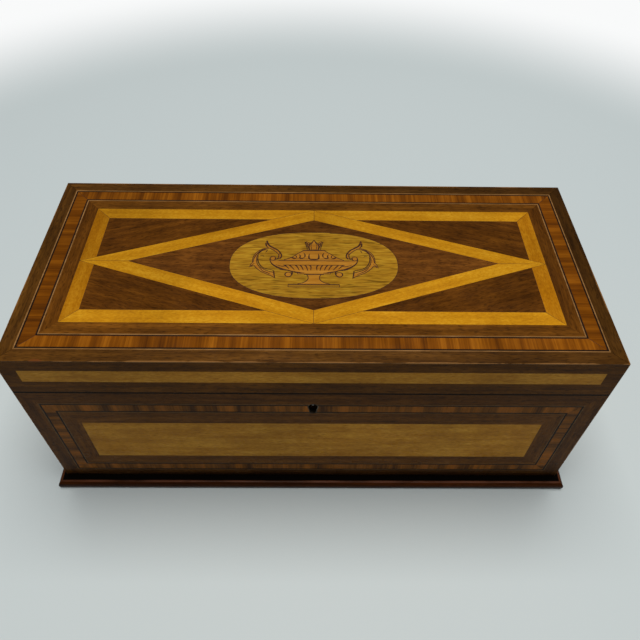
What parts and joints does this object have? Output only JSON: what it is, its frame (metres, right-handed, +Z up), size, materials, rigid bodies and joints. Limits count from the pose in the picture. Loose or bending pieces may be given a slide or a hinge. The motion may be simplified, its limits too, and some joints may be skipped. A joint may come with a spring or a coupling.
{
  "type": "inlaid wooden box",
  "caption": "Rectangular knife box with a back-hinged lid, banded and strapped marquetry, an urn oval, a keyed lock and a low plinth.",
  "frame": {"origin": "on the table under the centre of the box, at the plinth's underside", "axes": "+X to the right along the length as seen from the front, +Y to the back where the hinges are, +Z up"},
  "size_m": [0.3998, 0.1868, 0.16],
  "materials": {
    "mahogany": "dark figured mahogany, french polished",
    "satinwood": "golden satinwood, french polished",
    "crossbanding": "orange brown banding cut across the grain, polished",
    "boxwood": "pale boxwood line, polished",
    "ebony": "black dyed line, polished",
    "oval": "green brown ray-flecked wood, polished",
    "urn": "orange tan wood with engraved lines, polished",
    "carcass": "plain sawn mahogany, waxed",
    "brass": "old brass, dulled",
    "steel": "dull steel",
    "baize": "green baize"
  },
  "bodies": {
    "case": {"front_board": "carcass", "back_board": "carcass", "left_end_board": "carcass", "right_end_board": "carcass", "bottom_board": "carcass", "front_plinth": "mahogany", "back_plinth": "mahogany", "left_plinth": "mahogany", "right_plinth": "mahogany", "case_lipping": "mahogany", "front_border_veneer": "mahogany", "front_crossbanding": "crossbanding", "front_ground_veneer": "mahogany", "front_satinwood_panel": "satinwood", "end_border_veneers": "mahogany", "end_crossbandings": "crossbanding", "end_ground_veneers": "mahogany", "end_satinwood_panels": "satinwood", "case_boxwood_stringing": "boxwood", "case_ebony_stringing": "ebony", "case_back_veneer": "mahogany", "floor_lining": "baize", "wall_linings": "baize", "handle_rack": "carcass", "blade_rack": "carcass", "lock_plate": "brass", "lock_cap": "brass", "lock_spring": "steel", "lock_drill_pin": "steel", "case_screws": "brass", "keyhole_escutcheon": "steel", "left_hinge_case_leaf": "brass", "right_hinge_case_leaf": "brass", "left_hinge_pin": "steel", "right_hinge_pin": "steel"},
    "lid": {"lid_board": "carcass", "lid_front_rail": "carcass", "lid_back_rail": "carcass", "lid_left_rail": "carcass", "lid_right_rail": "carcass", "lid_lipping": "mahogany", "lid_border_veneer": "mahogany", "lid_boxwood_stringing": "boxwood", "lid_ebony_stringing": "ebony", "lid_crossbanding": "crossbanding", "lid_ground_veneer": "mahogany", "lid_strap_frame": "satinwood", "lid_strap_lozenge": "satinwood", "lid_corner_fields": "mahogany", "lid_lozenge_field": "mahogany", "lid_oval_panel": "oval", "urn_inlay": "urn", "lid_side_veneers": "mahogany", "lid_satinwood_strips": "satinwood", "lid_lining": "baize", "left_hinge_lid_leaf": "brass", "right_hinge_lid_leaf": "brass", "link_plate": "brass", "lid_screws": "brass"},
    "lock_bolt": {"lock_bolt": "steel"}
  },
  "joints": [
    {"name": "lid_hinge", "type": "hinge", "parent": "case", "child": "lid", "pos_m": [0, 0.0833, 0.12615], "axis": [-1, 0, 0], "range_deg": [0, 95]},
    {"name": "bolt_slide", "type": "slide", "parent": "case", "child": "lock_bolt", "axis": [1, 0, 0], "range_m": [0, 0.0045]}
  ]
}
